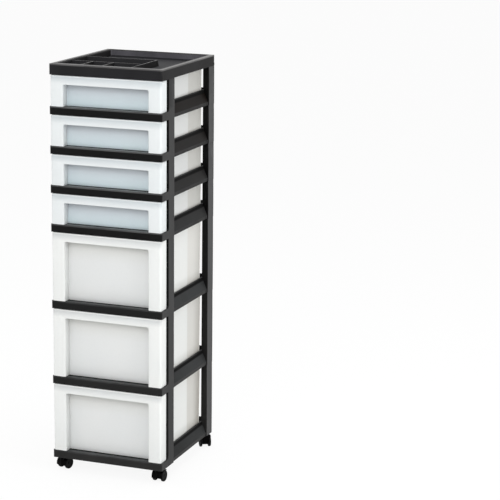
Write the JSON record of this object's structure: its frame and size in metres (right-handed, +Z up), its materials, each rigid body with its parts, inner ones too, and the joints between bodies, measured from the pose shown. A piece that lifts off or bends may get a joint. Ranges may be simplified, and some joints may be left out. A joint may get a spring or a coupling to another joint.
{
  "type": "drawer tower",
  "caption": "Tall rolling drawer tower: stacked open black plastic frames with white pull-out drawers, shallow above deep, a divided tray on top and twin-wheel casters.",
  "frame": {"origin": "on the floor under the middle of the tower", "axes": "+Z up, -Y towards the drawers' fronts, +X to the right as seen from the front"},
  "size_m": [0.324, 0.3494, 1.0625],
  "materials": {
    "black_frame": "satin black moulded plastic",
    "black_tray": "satin black moulded plastic",
    "white_drawer": "translucent white moulded plastic",
    "hood_plastic": "black plastic",
    "wheel_plastic": "hard black plastic",
    "steel": "plated steel"
  },
  "bodies": {
    "tower": {"tray": "black_tray", "frame_1": "black_frame", "frame_2": "black_frame", "frame_3": "black_frame", "frame_4": "black_frame", "frame_5": "black_frame", "frame_6": "black_frame", "frame_7": "black_frame", "caster_front_left_stem": "steel", "caster_front_right_stem": "steel", "caster_rear_left_stem": "steel", "caster_rear_right_stem": "steel"},
    "deep_drawer_1": {"drawer_1": "white_drawer"},
    "deep_drawer_2": {"drawer_2": "white_drawer"},
    "deep_drawer_3": {"drawer_3": "white_drawer"},
    "shallow_drawer_1": {"drawer_4": "white_drawer"},
    "shallow_drawer_2": {"drawer_5": "white_drawer"},
    "shallow_drawer_3": {"drawer_6": "white_drawer"},
    "shallow_drawer_4": {"drawer_7": "white_drawer"},
    "caster_front_left": {"caster_front_left_hood": "hood_plastic", "caster_front_left_axle": "wheel_plastic"},
    "wheel_front_left_a": {"caster_front_left_wheel_a": "wheel_plastic"},
    "wheel_front_left_b": {"caster_front_left_wheel_b": "wheel_plastic"},
    "caster_front_right": {"caster_front_right_hood": "hood_plastic", "caster_front_right_axle": "wheel_plastic"},
    "wheel_front_right_a": {"caster_front_right_wheel_a": "wheel_plastic"},
    "wheel_front_right_b": {"caster_front_right_wheel_b": "wheel_plastic"},
    "caster_rear_left": {"caster_rear_left_hood": "hood_plastic", "caster_rear_left_axle": "wheel_plastic"},
    "wheel_rear_left_a": {"caster_rear_left_wheel_a": "wheel_plastic"},
    "wheel_rear_left_b": {"caster_rear_left_wheel_b": "wheel_plastic"},
    "caster_rear_right": {"caster_rear_right_hood": "hood_plastic", "caster_rear_right_axle": "wheel_plastic"},
    "wheel_rear_right_a": {"caster_rear_right_wheel_a": "wheel_plastic"},
    "wheel_rear_right_b": {"caster_rear_right_wheel_b": "wheel_plastic"}
  },
  "joints": [
    {"name": "deep_drawer_1_slide", "type": "slide", "parent": "tower", "child": "deep_drawer_1", "axis": [0, -1, 0], "range_m": [0, 0.24]},
    {"name": "deep_drawer_2_slide", "type": "slide", "parent": "tower", "child": "deep_drawer_2", "axis": [0, -1, 0], "range_m": [0, 0.24]},
    {"name": "deep_drawer_3_slide", "type": "slide", "parent": "tower", "child": "deep_drawer_3", "axis": [0, -1, 0], "range_m": [0, 0.24]},
    {"name": "shallow_drawer_1_slide", "type": "slide", "parent": "tower", "child": "shallow_drawer_1", "axis": [0, -1, 0], "range_m": [0, 0.24]},
    {"name": "shallow_drawer_2_slide", "type": "slide", "parent": "tower", "child": "shallow_drawer_2", "axis": [0, -1, 0], "range_m": [0, 0.24]},
    {"name": "shallow_drawer_3_slide", "type": "slide", "parent": "tower", "child": "shallow_drawer_3", "axis": [0, -1, 0], "range_m": [0, 0.24]},
    {"name": "shallow_drawer_4_slide", "type": "slide", "parent": "tower", "child": "shallow_drawer_4", "axis": [0, -1, 0], "range_m": [0, 0.24]},
    {"name": "caster_front_left_swivel", "type": "hinge", "parent": "tower", "child": "caster_front_left", "pos_m": [-0.135, -0.158, 0.035], "axis": [0, 0, 1], "continuous": true},
    {"name": "wheel_front_left_a_spin", "type": "hinge", "parent": "caster_front_left", "child": "wheel_front_left_a", "pos_m": [-0.13189, -0.14641, 0.015], "axis": [0.9659, -0.2588, 0], "continuous": true},
    {"name": "wheel_front_left_b_spin", "type": "hinge", "parent": "caster_front_left", "child": "wheel_front_left_b", "pos_m": [-0.13189, -0.14641, 0.015], "axis": [0.9659, -0.2588, 0], "continuous": true},
    {"name": "caster_front_right_swivel", "type": "hinge", "parent": "tower", "child": "caster_front_right", "pos_m": [0.135, -0.158, 0.035], "axis": [0, 0, 1], "continuous": true},
    {"name": "wheel_front_right_a_spin", "type": "hinge", "parent": "caster_front_right", "child": "wheel_front_right_a", "pos_m": [0.13563, -0.14602, 0.015], "axis": [0.9986, -0.0523, 0], "continuous": true},
    {"name": "wheel_front_right_b_spin", "type": "hinge", "parent": "caster_front_right", "child": "wheel_front_right_b", "pos_m": [0.13563, -0.14602, 0.015], "axis": [0.9986, -0.0523, 0], "continuous": true},
    {"name": "caster_rear_left_swivel", "type": "hinge", "parent": "tower", "child": "caster_rear_left", "pos_m": [-0.135, 0.162, 0.035], "axis": [0, 0, 1], "continuous": true},
    {"name": "wheel_rear_left_a_spin", "type": "hinge", "parent": "caster_rear_left", "child": "wheel_rear_left_a", "pos_m": [-0.14239, 0.15254, 0.015], "axis": [-0.788, 0.6157, 0], "continuous": true},
    {"name": "wheel_rear_left_b_spin", "type": "hinge", "parent": "caster_rear_left", "child": "wheel_rear_left_b", "pos_m": [-0.14239, 0.15254, 0.015], "axis": [-0.788, 0.6157, 0], "continuous": true},
    {"name": "caster_rear_right_swivel", "type": "hinge", "parent": "tower", "child": "caster_rear_right", "pos_m": [0.135, 0.162, 0.035], "axis": [0, 0, 1], "continuous": true},
    {"name": "wheel_rear_right_a_spin", "type": "hinge", "parent": "caster_rear_right", "child": "wheel_rear_right_a", "pos_m": [0.14136, 0.15182, 0.015], "axis": [-0.848, -0.5299, 0], "continuous": true},
    {"name": "wheel_rear_right_b_spin", "type": "hinge", "parent": "caster_rear_right", "child": "wheel_rear_right_b", "pos_m": [0.14136, 0.15182, 0.015], "axis": [-0.848, -0.5299, 0], "continuous": true}
  ]
}
